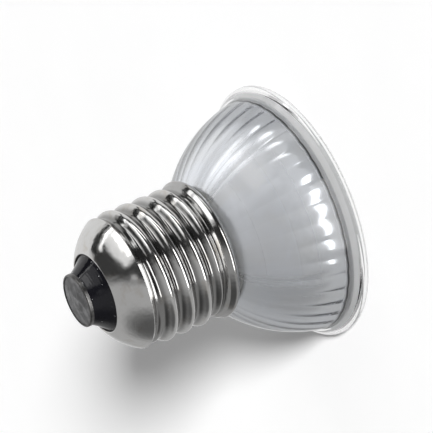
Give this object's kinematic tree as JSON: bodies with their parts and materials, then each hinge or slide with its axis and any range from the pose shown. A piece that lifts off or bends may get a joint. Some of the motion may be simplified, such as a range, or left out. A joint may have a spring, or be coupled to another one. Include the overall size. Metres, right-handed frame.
{
  "type": "reptile heat lamp",
  "caption": "Halogen reflector heat lamp: fluted silvered glass bowl with a clear rim and cover glass on a nickelled screw cap with a black insulator and a centre contact.",
  "frame": {"origin": "centre of the front face of the glass rim, which the lamp stands on", "axes": "+Z along the lamp's axis, from the rim to the centre contact; the middle of a flute lies on +X"},
  "size_m": [0.0502, 0.0502, 0.0475],
  "materials": {
    "bowl_glass": "clear pressed glass, silvered on its fluted inside",
    "cover_glass": "clear flat glass",
    "sealant": "translucent silicone",
    "nickel": "polished nickel plate on brass",
    "black_glass": "glossy black glass",
    "contact_metal": "dull nickel plate",
    "solder": "mottled tin solder",
    "cement": "matt basing cement",
    "quartz": "clear quartz",
    "tungsten": "drawn wire",
    "wire": "drawn wire",
    "foil": "thin foil",
    "glass_fibre": "braided sleeve"
  },
  "bodies": {
    "root": {"reflector": "bowl_glass", "front_lens": "cover_glass", "lens_seal": "sealant", "screw_shell": "nickel", "insulator": "black_glass", "contact_plate": "contact_metal", "contact_solder": "solder", "basing_cement": "cement", "capsule_cement": "cement", "quartz_capsule": "quartz", "filament": "tungsten", "inner_lead_left": "wire", "inner_lead_right": "wire", "foil_left": "foil", "foil_right": "foil", "centre_lead": "wire", "side_lead": "wire", "insulating_sleeve": "glass_fibre"}
  },
  "joints": []
}
